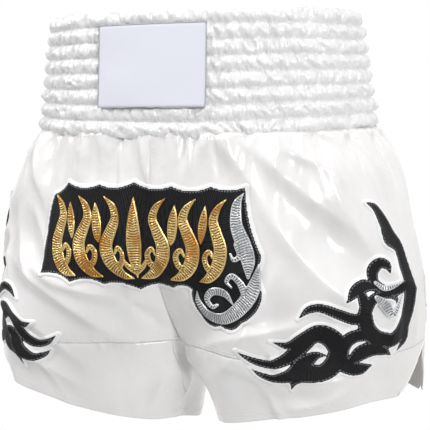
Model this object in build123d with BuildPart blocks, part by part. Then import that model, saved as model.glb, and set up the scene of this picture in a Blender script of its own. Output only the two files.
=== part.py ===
"""Boxing shorts in satin: a wide gathered waistband with eight elastic rows, four body panels,
a crotch gusset, hem bands with open side slits, a blank chest patch and embroidered appliques.

Millimetres. The origin is the centre of the waist opening at its top edge, +Z is up, the front
faces -Y and +X is the wearer's left. Every half of the body is a column of ellipses that starts
as half of the waist and moves outwards on its way down, until it is a leg of its own.
"""

import math
import os

from build123d import *

os.makedirs("parts", exist_ok=True)

# Waistband: half widths and half depths of its top edge and of the seam under it
WAIST_TOP = (151, 104)
WAIST_SEAM = (166, 114)
BAND_HEIGHT = 104
ROWS = 8
ROW_PUFF = 2.2

# Body and legs: (drop below the waist, leg centre x, half width, half depth)
SECTIONS = [
    (BAND_HEIGHT, 0, *WAIST_SEAM),
    (141, 14, 175, 117),
    (188, 36, 167, 120),
    (223, 54, 155, 120),
    (264, 80, 132, 115),
    (303, 99, 116, 110),
    (328, 108, 108, 107),
    (392, 119, 97, 99),
]

# Hem: drops at the inner leg, mid leg and side, and the x where each is reached
HEM_DROPS = [(22, 386), (119, 355), (216, 338)]
BAND_SEAM_DROP = 298
SIDE_SEAM_Y = 6

# Side slit in side view: its apex, and the front and back corners at the hem
SLIT_APEX_DROP = 292
SLIT_FRONT_Y = -44
SLIT_BACK_Y = 32
SLIT_HEM_DROP = 338
SLIT_CORNER_R = 9

# Gusset in side view: half widths where it starts and at the hem
GUSSET_TOP_HALF = 70
GUSSET_HEM_HALF = 9

# Cloth thicknesses and the height of each applied layer
CLOTH = 1.6
SHELL_CLOTH = 1.0
ELASTIC_GAP = 0.2
ELASTIC = 1.0
ELASTIC_WIDTH = 9
LINING = 0.8
BINDING = 0.8
BINDING_WIDTH = 4
EDGING_LAYER = 0.6
GROUND_LAYER = 0.6
THREAD_LAYER = 1.0
EDGING_WIDTH = 1.6

# Chest patch and the blank size label
PATCH_WIDTH = 104
PATCH_TOP_DROP = 11
PATCH_BOTTOM_DROP = 82.5
PATCH_BORDER = 2
PATCH_THICKNESS = 1.0
LABEL_SIZE = (38, 50)
LABEL_THICKNESS = 0.5

# Emblem outline seen from the front: (x, drop, how far the arc to the next point stands out)
EMBLEM_OUTLINE = [
    (-118, 236, 4),
    (-108, 160, -2),
    (-90, 148, -4),
    (-55, 149, -4),
    (-19, 146, -4),
    (17, 149, -4),
    (52, 149, -3),
    (82, 149, -3),
    (97, 206, 1),
    (94, 221, -1),
    (99, 238, 5),
    (80, 266, 5),
    (56, 272, 5),
    (36, 264, 3),
    (31, 241, -3),
    (14, 244, -4),
    (-19, 247, -4),
    (-52, 244, -4),
    (-84, 243, -4),
]

# Embroidery is made of leaves. Each leaf has two tips joined by two arcs:
# (first tip, second tip, sagitta of one arc, sagitta of the other), as (x, drop) pairs.
# The gold ones mirror each other about the emblem's middle, from which their x is measured.
EMBLEM_MIDDLE = -19
GOLD_BUD = ((0, 159), (0, 232), -7, 7)
GOLD_LEAVES = [
    ((5, 230), (24, 182), -24, -15),
    ((12, 161), (36, 230), 30, 22),
    ((48, 230), (62, 184), -18, -12),
    ((50, 161), (70, 230), 28, 20),
]
SILVER_LEAVES = [
    ((79, 158), (86, 230), 5, -3),
    ((94, 216), (38, 256), 24, 13),
    ((46, 244), (60, 247), -3, 3),
]

# Flames of the wearer's left leg, seen square to a plane turned FLAME_TURN towards that side
FLAME_TURN = 40
FLAME_LEAVES = [
    ((93, 168), (142, 292), 26, 12),
    ((150, 258), (56, 290), 26, 10),
    ((136, 230), (92, 246), -17, -8),
    ((92, 242), (114, 256), -11, -3),
    ((116, 266), (32, 260), -18, -6),
    ((104, 284), (-8, 290), -20, -7),
    ((92, 290), (2, 307), 15, -2),
    ((74, 294), (22, 323), 9, -6),
    ((60, 290), (126, 302), 12, 3),
]
FLAME_ACCENTS = [
    ((112, 258), (138, 276), 8, 3),
    ((122, 240), (134, 262), 6, 2),
]

REACH = 400  # half size of the blocks that cut the layers, larger than the shorts


def save(name, piece):
    """Label a finished piece and write its STEP file."""
    piece.label = name
    export_step(piece, f"parts/{name}.step")


def half_column(grow):
    """The +X half of the body as one solid, its surface moved outwards by grow."""
    with BuildPart() as column:
        for drop, centre, half_width, half_depth in SECTIONS:
            with BuildSketch(Plane.XY.offset(-drop)):
                with Locations((centre, 0)):
                    Ellipse(half_width + grow, half_depth + grow)
        loft()
    return column.part


def band_column(grow):
    """The waistband as one solid with straight sides, its surface moved outwards by grow."""
    with BuildPart() as column:
        for drop, (half_width, half_depth) in ((0, WAIST_TOP), (BAND_HEIGHT, WAIST_SEAM)):
            with BuildSketch(Plane.XY.offset(-drop)):
                Ellipse(half_width + grow, half_depth + grow)
        loft(ruled=True)
    return column.part


def gathered_column():
    """The waistband's outside with one puff for each elastic row."""
    with BuildPart() as column:
        for step in range(2 * ROWS + 1):
            share = step / (2 * ROWS)
            puff = ROW_PUFF * (step % 2)
            half_width = WAIST_TOP[0] + share * (WAIST_SEAM[0] - WAIST_TOP[0]) + puff
            half_depth = WAIST_TOP[1] + share * (WAIST_SEAM[1] - WAIST_TOP[1]) + puff
            with BuildSketch(Plane.XY.offset(-share * BAND_HEIGHT)):
                Ellipse(half_width, half_depth)
        loft(ruled=True)
    return column.part


def skin(column, outer, inner):
    """The cloth layer of one half between two offsets of the body, cut at the centre plane."""
    with BuildPart() as layer:
        add(column(outer))
        add(column(inner), mode=Mode.SUBTRACT)
        with Locations((REACH / 2, 0, -REACH / 2)):
            Box(REACH, REACH, REACH, mode=Mode.INTERSECT)
    return layer.part


def both_halves(layer):
    """A layer with its mirror image."""
    with BuildPart() as pair:
        add(layer)
        mirror(about=Plane.YZ)
    return pair.part


def hem_cut():
    """All that lies below the hem of the +X leg: the hem is an arc seen from the front."""
    inner, middle, outer = ((x, -drop) for x, drop in HEM_DROPS)
    with BuildPart() as below:
        with BuildSketch(Plane.XZ.offset(-REACH / 2)):
            with BuildLine():
                hem = ThreePointArc(inner, middle, outer)
                start = Line(hem @ 0 - (hem % 0) * (inner[0] / (hem % 0).X), hem @ 0)
                finish = Line(hem @ 1, hem @ 1 + (hem % 1) * 60)
                Polyline(finish @ 1, ((finish @ 1).X, -REACH), (0, -REACH), start @ 0)
            make_face()
        extrude(amount=REACH)
    return below.part


def slit_notch(widen=0):
    """The open side slit of the +X leg, a wedge seen from the side, widened along its edges."""
    below = SLIT_HEM_DROP + 40
    share = (below - SLIT_APEX_DROP) / (SLIT_HEM_DROP - SLIT_APEX_DROP)
    front = SIDE_SEAM_Y + share * (SLIT_FRONT_Y - SIDE_SEAM_Y)
    back = SIDE_SEAM_Y + share * (SLIT_BACK_Y - SIDE_SEAM_Y)
    with BuildPart() as wedge:
        with BuildSketch(Plane.YZ.offset(120)):
            with BuildLine():
                Polyline((SIDE_SEAM_Y, -SLIT_APEX_DROP), (front, -below), (back, -below), close=True)
            make_face()
            if widen:
                offset(amount=widen, kind=Kind.INTERSECTION)
        extrude(amount=140)
    return wedge.part


def corner_cut():
    """What a rounded corner takes off the back hem band where the slit meets the hem."""
    corner = Vector(SLIT_BACK_Y, -SLIT_HEM_DROP)
    up = (Vector(SIDE_SEAM_Y, -SLIT_APEX_DROP) - corner).normalized()
    along = Vector(1, 0)
    reach = SLIT_CORNER_R / math.tan(math.radians(up.get_angle(along)) / 2)
    clear = 3
    with BuildPart() as cutter:
        with BuildSketch(Plane.YZ.offset(120)):
            with BuildLine():
                rounded = ThreePointArc(
                    corner + up * reach,
                    corner + (up + along).normalized() * (math.hypot(reach, SLIT_CORNER_R) - SLIT_CORNER_R),
                    corner + along * reach,
                )
                Polyline(
                    rounded @ 1,
                    (rounded @ 1) - Vector(0, clear),
                    corner - Vector(clear, clear),
                    (rounded @ 0) - Vector(clear, 0),
                    rounded @ 0,
                )
            make_face()
        extrude(amount=140)
    return cutter.part


def gusset_block():
    """The space of the crotch gusset, a tapered strip seen from the side."""
    hem = HEM_DROPS[0][1]
    slope = (GUSSET_TOP_HALF - GUSSET_HEM_HALF) / (hem - BAND_SEAM_DROP)
    bottom = hem + 10
    foot = GUSSET_HEM_HALF - slope * 10
    with BuildPart() as block:
        with BuildSketch(Plane.YZ.offset(-60)):
            with BuildLine():
                Polyline(
                    (-GUSSET_TOP_HALF, -BAND_SEAM_DROP),
                    (GUSSET_TOP_HALF, -BAND_SEAM_DROP),
                    (foot, -bottom),
                    (-foot, -bottom),
                    close=True,
                )
            make_face()
        extrude(amount=120)
    return block.part


def slab(low, high):
    """A block between two corners, used to keep one region of a layer."""
    size = [b - a for a, b in zip(low, high)]
    middle = tuple((a + b) / 2 for a, b in zip(low, high))
    with BuildPart() as block:
        with Locations(middle):
            Box(*size)
    return block.part


def region(layer, low, high):
    """The part of a layer inside the block between two corners."""
    with BuildPart() as piece:
        add(layer)
        add(slab(low, high), mode=Mode.INTERSECT)
    return piece.part


def save_pair(name, piece):
    """Write a piece of the wearer's left side and its mirror image on the right."""
    save(f"{name}_left", piece)
    with BuildPart() as other:
        add(mirror(piece, about=Plane.YZ, mode=Mode.PRIVATE))
    save(f"{name}_right", other.part)


# ---------------------------------------------------------------- waistband
with BuildPart() as waistband_shell:
    add(gathered_column())
    add(band_column(-SHELL_CLOTH), mode=Mode.SUBTRACT)
save("waistband_shell", waistband_shell.part)

elastic_out = -SHELL_CLOTH - ELASTIC_GAP
lining_out = elastic_out - ELASTIC - ELASTIC_GAP
with BuildPart() as waistband_lining:
    add(band_column(lining_out))
    add(band_column(lining_out - LINING), mode=Mode.SUBTRACT)
save("waistband_lining", waistband_lining.part)

with BuildPart() as elastic_layer:
    add(band_column(elastic_out))
    add(band_column(elastic_out - ELASTIC), mode=Mode.SUBTRACT)
for row in range(ROWS):
    middle = -BAND_HEIGHT * (row + 0.5) / ROWS
    low = (-REACH, -REACH, middle - ELASTIC_WIDTH / 2)
    high = (REACH, REACH, middle + ELASTIC_WIDTH / 2)
    save(f"elastic_row_{row + 1}", region(elastic_layer.part, low, high))

half = PATCH_WIDTH / 2
patch_low = (-half, -REACH, -PATCH_BOTTOM_DROP)
patch_high = (half, 0, -PATCH_TOP_DROP)
inner_low = (-half + PATCH_BORDER, -REACH, -PATCH_BOTTOM_DROP + PATCH_BORDER)
inner_high = (half - PATCH_BORDER, 0, -PATCH_TOP_DROP - PATCH_BORDER)
with BuildPart() as patch_layer:
    add(band_column(ROW_PUFF + PATCH_THICKNESS))
    add(band_column(ROW_PUFF), mode=Mode.SUBTRACT)
save("waist_patch", region(patch_layer.part, inner_low, inner_high))
with BuildPart() as waist_patch_border:
    add(region(patch_layer.part, patch_low, patch_high))
    add(slab(inner_low, inner_high), mode=Mode.SUBTRACT)
save("waist_patch_border", waist_patch_border.part)

label_out = lining_out - LINING - 0.1
with BuildPart() as label_layer:
    add(band_column(label_out))
    add(band_column(label_out - LABEL_THICKNESS), mode=Mode.SUBTRACT)
label_low = (-LABEL_SIZE[0] / 2, 0, -PATCH_TOP_DROP - LABEL_SIZE[1])
label_high = (LABEL_SIZE[0] / 2, REACH, -PATCH_TOP_DROP)
save("size_label", region(label_layer.part, label_low, label_high))

# ---------------------------------------------------------------- body panels, bands and gusset
with BuildPart() as leg:
    add(skin(half_column, 0, -CLOTH))
    add(hem_cut(), mode=Mode.SUBTRACT)
    add(slit_notch(), mode=Mode.SUBTRACT)

upper_low, upper_high = -BAND_SEAM_DROP, -BAND_HEIGHT
save_pair("front_panel", region(leg.part, (0, -REACH, upper_low), (REACH, SIDE_SEAM_Y, upper_high)))
save_pair("back_panel", region(leg.part, (0, SIDE_SEAM_Y, upper_low), (REACH, REACH, upper_high)))

for side, y_low, y_high in (("front", -REACH, SIDE_SEAM_Y), ("back", SIDE_SEAM_Y, REACH)):
    with BuildPart() as hem_band:
        add(region(leg.part, (0, y_low, -REACH), (REACH, y_high, upper_low)))
        add(gusset_block(), mode=Mode.SUBTRACT)
        if side == "back":
            add(corner_cut(), mode=Mode.SUBTRACT)
    save_pair(f"hem_band_{side}", hem_band.part)

with BuildPart() as crotch_gusset:
    add(both_halves(leg.part))
    add(gusset_block(), mode=Mode.INTERSECT)
save("crotch_gusset", crotch_gusset.part)

# ---------------------------------------------------------------- slit bindings
with BuildPart() as slit_binding:
    add(skin(half_column, BINDING, 0))
    add(hem_cut(), mode=Mode.SUBTRACT)
    add(slit_notch(widen=BINDING_WIDTH), mode=Mode.INTERSECT)
    add(slit_notch(), mode=Mode.SUBTRACT)
    add(corner_cut(), mode=Mode.SUBTRACT)
for side, y_low, y_high in (("front", -REACH, SIDE_SEAM_Y), ("back", SIDE_SEAM_Y, REACH)):
    piece = region(slit_binding.part, (0, y_low, -REACH), (REACH, y_high, 0))
    save_pair(f"slit_binding_{side}", piece)


# ---------------------------------------------------------------- embroidered appliques
def outline_prism(plane, outline, grow):
    """A prism over a closed chain of arcs, grown outwards by grow."""
    with BuildPart() as prism:
        with BuildSketch(plane):
            with BuildLine():
                for (x, drop, sagitta), (next_x, next_drop, _) in zip(outline, outline[1:] + outline[:1]):
                    start, end = (x, -drop), (next_x, -next_drop)
                    if sagitta:
                        SagittaArc(start, end, sagitta)
                    else:
                        Line(start, end)
            make_face()
            if grow:
                offset(amount=grow)
        extrude(amount=REACH)
    return prism.part


def leaf_prism(plane, leaves, grow=0):
    """A prism over overlapping leaves, each grown outwards by grow."""
    with BuildPart() as prism:
        for first, second, bulge_a, bulge_b in leaves:
            start, end = Vector(first[0], -first[1]), Vector(second[0], -second[1])
            tip = (end - start).normalized() * 2 * grow
            side = grow if bulge_a > bulge_b else -grow
            with BuildSketch(plane):
                with BuildLine():
                    SagittaArc(start - tip, end + tip, bulge_a + side)
                    SagittaArc(start - tip, end + tip, bulge_b - side)
                make_face()
            extrude(amount=REACH)
    return prism.part


def on_layer(layer, prism):
    """The part of a thin layer that a prism covers."""
    with BuildPart() as piece:
        add(layer)
        add(prism, mode=Mode.INTERSECT)
    return piece.part


edging_top = EDGING_LAYER
ground_top = edging_top + GROUND_LAYER
thread_top = ground_top + THREAD_LAYER
edging_skin = skin(half_column, edging_top, 0)
ground_skin = skin(half_column, ground_top, edging_top)
thread_skin = skin(half_column, thread_top, ground_top)

front_plane = Plane.XZ
turn = math.radians(FLAME_TURN)
flame_plane = Plane(
    origin=(0, 0, 0),
    x_dir=(math.cos(turn), math.sin(turn), 0),
    z_dir=(math.sin(turn), -math.cos(turn), 0),
)

def from_middle(leaf, side):
    """A leaf of the emblem, given from its middle, on the +X side or mirrored to the other."""
    (x_a, drop_a), (x_b, drop_b), bulge_a, bulge_b = leaf
    start, end = (EMBLEM_MIDDLE + side * x_a, drop_a), (EMBLEM_MIDDLE + side * x_b, drop_b)
    return (start, end, side * bulge_a, side * bulge_b)


edging_prism = outline_prism(front_plane, EMBLEM_OUTLINE, EDGING_WIDTH)
save("emblem_edging", on_layer(both_halves(edging_skin), edging_prism))
save("emblem_ground", on_layer(both_halves(ground_skin), outline_prism(front_plane, EMBLEM_OUTLINE, 0)))
thread_both = both_halves(thread_skin)
gold = [from_middle(GOLD_BUD, 1)] + [from_middle(leaf, side) for leaf in GOLD_LEAVES for side in (1, -1)]
for kind, leaves in (("gold", gold), ("silver", SILVER_LEAVES)):
    for number, leaf in enumerate(leaves, start=1):
        save(f"emblem_{kind}_{number}", on_layer(thread_both, leaf_prism(front_plane, [leaf])))

flame_edging = on_layer(edging_skin, leaf_prism(flame_plane, FLAME_LEAVES, EDGING_WIDTH))
flame_ground = on_layer(ground_skin, leaf_prism(flame_plane, FLAME_LEAVES))
save_pair("front_flame_edging", flame_edging)
save_pair("front_flame", flame_ground)
save_pair("front_flame_accent", on_layer(thread_skin, leaf_prism(flame_plane, FLAME_ACCENTS)))
for name, piece in (("back_flame_edging", flame_edging), ("back_flame", flame_ground)):
    with BuildPart() as behind:
        add(mirror(piece, about=Plane.XZ, mode=Mode.PRIVATE))
    save_pair(name, behind.part)
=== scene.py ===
"""Boxing shorts in white satin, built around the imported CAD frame: gathered waistband, draped body
panels with folds, hem bands, gusset, blank patch, and raised gold, silver and black embroidery.

Shapes are worked out in millimetres with numpy and written to Blender in metres. The plain body is an
elliptic tube for each leg, and the two meet in the middle plane above the crotch. Cloth and embroidery
lie on it, moved out by the folds. An angle round a leg is 0 at the front and pi/2 at the outer side.
"""

import math

import bpy
import numpy as np
from mathutils import Matrix, Vector


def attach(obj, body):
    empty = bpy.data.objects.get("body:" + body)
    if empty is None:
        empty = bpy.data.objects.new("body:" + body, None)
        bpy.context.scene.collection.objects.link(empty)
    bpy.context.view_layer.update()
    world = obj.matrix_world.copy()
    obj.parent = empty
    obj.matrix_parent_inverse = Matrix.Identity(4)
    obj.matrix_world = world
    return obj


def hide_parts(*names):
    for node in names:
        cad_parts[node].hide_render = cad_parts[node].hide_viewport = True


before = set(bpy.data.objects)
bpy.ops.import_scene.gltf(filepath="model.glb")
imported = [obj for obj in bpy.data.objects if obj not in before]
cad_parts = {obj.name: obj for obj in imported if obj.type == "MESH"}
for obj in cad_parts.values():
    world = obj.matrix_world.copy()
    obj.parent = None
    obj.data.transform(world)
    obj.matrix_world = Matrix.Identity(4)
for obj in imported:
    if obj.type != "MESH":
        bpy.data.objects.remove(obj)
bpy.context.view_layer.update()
BODY = "root"

# ---- the shape of the shorts (mm)
# Half width and half depth of the waist opening, and of the seam under the waistband
WAIST_TOP = (151, 104)
WAIST_SEAM = (166, 114)
BAND_HEIGHT = 104
ROWS = 8
# The body: drop below the waist, distance of the leg's centre, half width and half depth
SECTIONS = np.array([
    (BAND_HEIGHT, 0, *WAIST_SEAM),
    (141, 14, 175, 117),
    (188, 36, 167, 120),
    (223, 54, 155, 120),
    (264, 80, 132, 115),
    (303, 99, 116, 110),
    (328, 108, 108, 107),
    (392, 119, 97, 99),
], float)
CROTCH = -328.0
# Three points of the hem: distance from the middle plane, and drop
HEM_DROPS = ((22, 386), (119, 355), (216, 338))
BACK_HEM_DROP = 17.0
BAND_SEAM = -298.0
SIDE_SEAM_Y = 6.0
SLIT_FRONT_Y, SLIT_BACK_Y, SLIT_HEM = -44.0, 32.0, -338.0
FRONT_CORNER_R, BACK_CORNER_R = 4.0, 11.0
GUSSET_TOP_HALF, GUSSET_HEM_HALF = 70.0, 9.0
PATCH_HALF, PATCH_TOP, PATCH_BOTTOM = 52.0, -11.0, -82.5
PATCH_LIFT = 4.4
PATCH_SHIFT = -2.5
LABEL_HALF, LABEL_TOP, LABEL_BOTTOM = 19.0, -9.5, -59.5
CLOTH = 0.7


def natural_spline(knots, values):
    """Second derivatives of a natural cubic spline through the knots."""
    count = len(knots)
    matrix, right = np.eye(count), np.zeros(count)
    for i in range(1, count - 1):
        before, after = knots[i] - knots[i - 1], knots[i + 1] - knots[i]
        matrix[i, i - 1:i + 2] = before / 6, (before + after) / 3, after / 6
        right[i] = (values[i + 1] - values[i]) / after - (values[i] - values[i - 1]) / before
    return np.linalg.solve(matrix, right)


KNOTS = SECTIONS[:, 0]
CURVES = [(SECTIONS[:, k], natural_spline(KNOTS, SECTIONS[:, k])) for k in (1, 2, 3)]


def section(z):
    """Leg centre, half width and half depth of the body at a height."""
    drop = np.clip(-np.asarray(z, float), KNOTS[0], KNOTS[-1])
    i = np.clip(np.searchsorted(KNOTS, drop) - 1, 0, len(KNOTS) - 2)
    gap = KNOTS[i + 1] - KNOTS[i]
    a = (KNOTS[i + 1] - drop) / gap
    b = 1 - a
    out = []
    for value, second in CURVES:
        bend = ((a**3 - a) * second[i] + (b**3 - b) * second[i + 1]) * gap**2 / 6
        out.append(a * value[i] + b * value[i + 1] + bend)
    return out


def hem_height(x):
    """Height of the hem at a distance from the centre plane."""
    (x0, d0), (x1, d1), (x2, d2) = HEM_DROPS
    x = np.abs(x)
    return -(d0 * (x - x1) * (x - x2) / ((x0 - x1) * (x0 - x2))
             + d1 * (x - x0) * (x - x2) / ((x1 - x0) * (x1 - x2))
             + d2 * (x - x0) * (x - x1) / ((x2 - x0) * (x2 - x1)))


def smooth(value, low, high):
    """0 below low, 1 above high, and a smooth step between."""
    t = np.clip((value - low) / (high - low), 0, 1)
    return t * t * (3 - 2 * t)


# ---- noise
LATTICE = np.random.default_rng(7).uniform(-1, 1, (32, 32, 32))


def noise(x, y, z, seed=0):
    """Smooth value noise from -1 to 1 with a lattice step of 1."""
    parts = []
    for k, value in enumerate((x, y, z)):
        value = np.asarray(value, float) + seed * (3.7 + k * 1.9)
        whole = np.floor(value).astype(int)
        t = value - whole
        parts.append((whole % 32, (whole + 1) % 32, t * t * t * (t * (6 * t - 15) + 10)))
    (x0, x1, tx), (y0, y1, ty), (z0, z1, tz) = parts
    total = 0
    for xi, wx in ((x0, 1 - tx), (x1, tx)):
        for yi, wy in ((y0, 1 - ty), (y1, ty)):
            for zi, wz in ((z0, 1 - tz), (z1, tz)):
                total = total + LATTICE[xi, yi, zi] * wx * wy * wz
    return total


# ---- folds of the body cloth
# Soft folds: (x, drop) of both ends, width, height; the sharp side is on the right of the run
FRONT_FOLDS = [
    ((-150, 128), (-168, 235), 15, 5.0),
    ((-128, 112), (-122, 170), 9, 3.4),
    ((-150, 232), (-40, 290), 13, 6.0),
    ((-128, 222), (-18, 262), 9, 4.0),
    ((-176, 262), (-80, 318), 15, 4.5),
    ((-32, 106), (-30, 240), 6, 3.2),
    ((-2, 106), (-4, 160), 5, 2.6),
    ((26, 106), (34, 150), 6, 2.4),
    ((62, 106), (92, 168), 9, 3.6),
    ((92, 108), (170, 196), 13, 6.0),
    ((112, 112), (150, 150), 8, 3.4),
    ((128, 120), (206, 236), 15, 6.0),
    ((104, 168), (182, 262), 14, 5.0),
    ((112, 232), (60, 306), 16, 5.5),
    ((128, 262), (40, 300), 10, 4.5),
    ((176, 318), (120, 344), 14, 3.2),
    ((-26, 250), (-8, 300), 12, -4.0),
    ((64, 314), (120, 322), 12, 3.0),
    ((-150, 318), (-70, 346), 15, 3.0),
    ((190, 250), (206, 318), 12, 3.5),
]
BACK_FOLDS = [
    ((-120, 110), (-150, 230), 14, 5.0),
    ((-70, 108), (-60, 190), 9, 3.6),
    ((-20, 106), (-36, 170), 7, 3.0),
    ((30, 106), (52, 190), 9, 3.6),
    ((86, 110), (140, 230), 14, 5.5),
    ((-150, 210), (-40, 290), 15, 6.0),
    ((-60, 240), (-10, 300), 11, 4.5),
    ((150, 206), (44, 292), 15, 6.0),
    ((70, 236), (12, 300), 11, 4.0),
    ((-180, 250), (-100, 330), 14, 4.0),
    ((184, 252), (104, 330), 14, 4.0),
]


FOLD_GAIN = 1.45


def fold_sum(x, z, folds):
    """Heights of soft folds, each a ridge along a line that fades towards both ends."""
    total = np.zeros_like(x)
    for (x0, drop0), (x1, drop1), width, height in folds:
        run = np.array((x1 - x0, drop0 - drop1), float)
        length = np.hypot(*run)
        along = ((x - x0) * run[0] + (z + drop0) * run[1]) / length**2
        off = ((x - x0) * run[1] - (z + drop0) * run[0]) / length
        off = off + 6 * np.sin(along * 3.0 + x0)
        off = off / (np.where(off > 0, 0.65, 1.5) * width)
        fade = smooth(along, -0.3, 0.3) * smooth(1 - along, -0.3, 0.4)
        total += height * fade * (0.6 * np.exp(-(off**2)) + 0.4 * np.exp(-np.abs(off) * 1.6))
    return FOLD_GAIN * total


def sag(x, y, z):
    """How far the cloth stands out of the plain body at a point of it."""
    depth = -BAND_HEIGHT - z
    top = smooth(depth, 0, 5)
    # The emblem holds the cloth under it flatter
    emblem = smooth(-y, 60, 85) * smooth(x, -126, -104) * smooth(-x, -112, -92) * smooth(depth, 36, 52)
    calm = 1 - 0.65 * emblem
    # Gathers that spread from the waistband
    fine = (0.4 - np.abs(noise(x / 9, y / 9, z / 60, 1))) * 6.5 * np.exp(-depth / 26) * calm
    pleat = noise(x / 14, y / 14, z / 110, 2) * 6.0 * np.exp(-depth / 55) * calm
    # Slow waves, creases and folds of the hanging cloth
    wave = noise(x / 52, y / 52, z / 75, 3) * 6.5 * smooth(depth, 10, 90)
    crease = (0.5 - np.abs(noise(x / 30 + z / 60, y / 30, z / 70, 4))) * 6.5 * smooth(depth, 30, 110) * calm
    front = fold_sum(x, z, FRONT_FOLDS) * smooth(-y, 5, 45)
    back = fold_sum(x, z, BACK_FOLDS) * smooth(y, 5, 45)
    # The groove and puckers of the hem band's seam
    seam = -0.7 * np.exp(-((z - BAND_SEAM) / 3.0) ** 2) * smooth(np.abs(x), 4, 16)
    pucker = noise(x / 5, y / 5, z / 9, 5) * 0.7 * np.exp(-((z - BAND_SEAM) / 9) ** 2)
    hanging = wave + crease + front + back + seam + pucker
    # Beside the slits the folds fade and the cloth swings in
    side = 1 - 0.9 * smooth(-z, 262, 305) * smooth(np.abs(x), 150, 190)
    tuck = -9 * smooth(-z, 322, 352) * smooth(-x, 150, 190) * smooth(-y, 0, 50)
    tuck = tuck - 6 * smooth(-z, 275, 325) * smooth(x, 150, 200)
    return (fine + pleat) * (0.35 + 0.65 * top) + hanging * top * side + tuck


def drape(x, y, z, lift=0.0):
    """Points of the plain body moved out by the folds and a lift; the sign of x tells the leg."""
    side = np.where(x < 0, -1.0, 1.0)
    centre, width, depth = section(z)
    nx, ny = (np.abs(x) - centre) / width**2, y / depth**2
    size = np.maximum(np.hypot(nx, ny), 1e-9)
    nx, ny = nx / size, ny / size
    # Near the middle plane the legs' inner walls have no folds, so that they stay apart
    near = smooth(np.abs(x), 0, 14)
    inner = 1 - (1 - near) * np.clip(-1.2 * nx, 0, 1)
    out = sag(x, y, z) * inner + lift
    # The left leg's front hem lifts a little, and the inner back hems hang lower
    perk = 8 * smooth(-z, 300, 386) * smooth(x, 0, 14) * smooth(-x, -215, -185) * smooth(-y, -20, 20)
    droop = 11 * smooth(-z, 325, 386) * smooth(-np.abs(x), -60, -25) * smooth(y, -25, 30)
    return np.stack([x + side * nx * out * near, y + ny * out, z + perk - droop], -1)


# ---- meshes
def piece(name, points, faces, node, material, uv=None):
    """A Blender mesh from millimetre points, riding on the body and standing for a CAD node."""
    mesh = bpy.data.meshes.new(name)
    points = np.asarray(points, float).reshape(-1, 3) * 0.001
    mesh.from_pydata(points.tolist(), [], [tuple(int(i) for i in f) for f in faces])
    if uv is not None:
        layer = mesh.uv_layers.new(name="UVMap")
        loops = np.zeros(len(mesh.loops), int)
        mesh.loops.foreach_get("vertex_index", loops)
        layer.data.foreach_set("uv", (uv[loops] * 0.001).ravel())
    mesh.validate()
    mesh.polygons.foreach_set("use_smooth", [True] * len(mesh.polygons))
    made = bpy.data.objects.new(name, mesh)
    bpy.context.scene.collection.objects.link(made)
    made.data.materials.append(material)
    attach(made, BODY)
    if node:
        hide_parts(node)
    return made


def thicken(made, thickness, reverse=None):
    """Give a sheet its real thickness, inwards, and, when given, a second material on the inside, which for
    the body cloth is a matte reverse painted darker as shade.
    """
    shell = made.modifiers.new("thickness", "SOLIDIFY")
    shell.thickness = thickness * 0.001
    shell.offset = -1.0
    if reverse:
        made.data.materials.append(reverse)
        shell.material_offset = 1


def grid_faces(rows, columns, wrap=False, close=False, flip=False):
    """Quads of a grid stored row by row; wrap joins its first and last columns, close its rows."""
    row, column = np.arange(rows if close else rows - 1), np.arange(columns if wrap else columns - 1)
    i, j = np.meshgrid(row, column, indexing="ij")
    k, n = (j + 1) % columns, (i + 1) % rows
    quads = np.stack([i * columns + j, i * columns + k, n * columns + k, n * columns + j], -1)
    quads = quads.reshape(-1, 4)
    return quads[:, ::-1] if flip else quads


# ---- node helpers
def math_node(tree, operation, *values):
    """The output of a math node; each value is a number or the output that feeds it."""
    made = tree.nodes.new("ShaderNodeMath")
    made.operation = operation
    for socket, value in zip(made.inputs, values):
        feed(tree, socket, value)
    return made.outputs[0]


def feed(tree, socket, value):
    """Link an input to another node's output, or set it to a number or colour."""
    if isinstance(value, bpy.types.NodeSocket):
        tree.links.new(value, socket)
    else:
        socket.default_value = value


def mix_node(tree, kind, share, low, high):
    """A mix from low to high, which are colours (RGBA) or numbers (FLOAT)."""
    made = tree.nodes.new("ShaderNodeMix")
    made.data_type = kind
    for name, value in (("Factor", share), ("A", low), ("B", high)):
        feed(tree, made.inputs[name], value)
    return made.outputs["Result"]


def range_node(tree, value, from_min=0.0, from_max=1.0, to_min=0.0, to_max=1.0, smoothed=False):
    """A value carried from one range to another and kept inside it."""
    made = tree.nodes.new("ShaderNodeMapRange")
    if smoothed:
        made.interpolation_type = "SMOOTHSTEP"
    limits = {"From Min": from_min, "From Max": from_max, "To Min": to_min, "To Max": to_max}
    for name, number in limits.items():
        made.inputs[name].default_value = number
    tree.links.new(value, made.inputs["Value"])
    return made.outputs["Result"]


def noise_node(tree, place, scale, detail=2):
    """Soft noise at a place, with a scale per metre."""
    made = tree.nodes.new("ShaderNodeTexNoise")
    made.inputs["Scale"].default_value = scale
    made.inputs["Detail"].default_value = detail
    tree.links.new(place, made.inputs["Vector"])
    return made.outputs["Fac"]


def add_relief(tree, shader, height, strength, distance_mm):
    """A bump on the shader's surface."""
    relief = tree.nodes.new("ShaderNodeBump")
    relief.inputs["Strength"].default_value = strength
    relief.inputs["Distance"].default_value = distance_mm * 0.001
    tree.links.new(height, relief.inputs["Height"])
    tree.links.new(relief.outputs["Normal"], shader.inputs["Normal"])


# ---- materials
def new_material(name):
    """An empty material, its node tree and its shader."""
    material = bpy.data.materials.new(name)
    material.use_nodes = True
    return material, material.node_tree, material.node_tree.nodes["Principled BSDF"]


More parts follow.
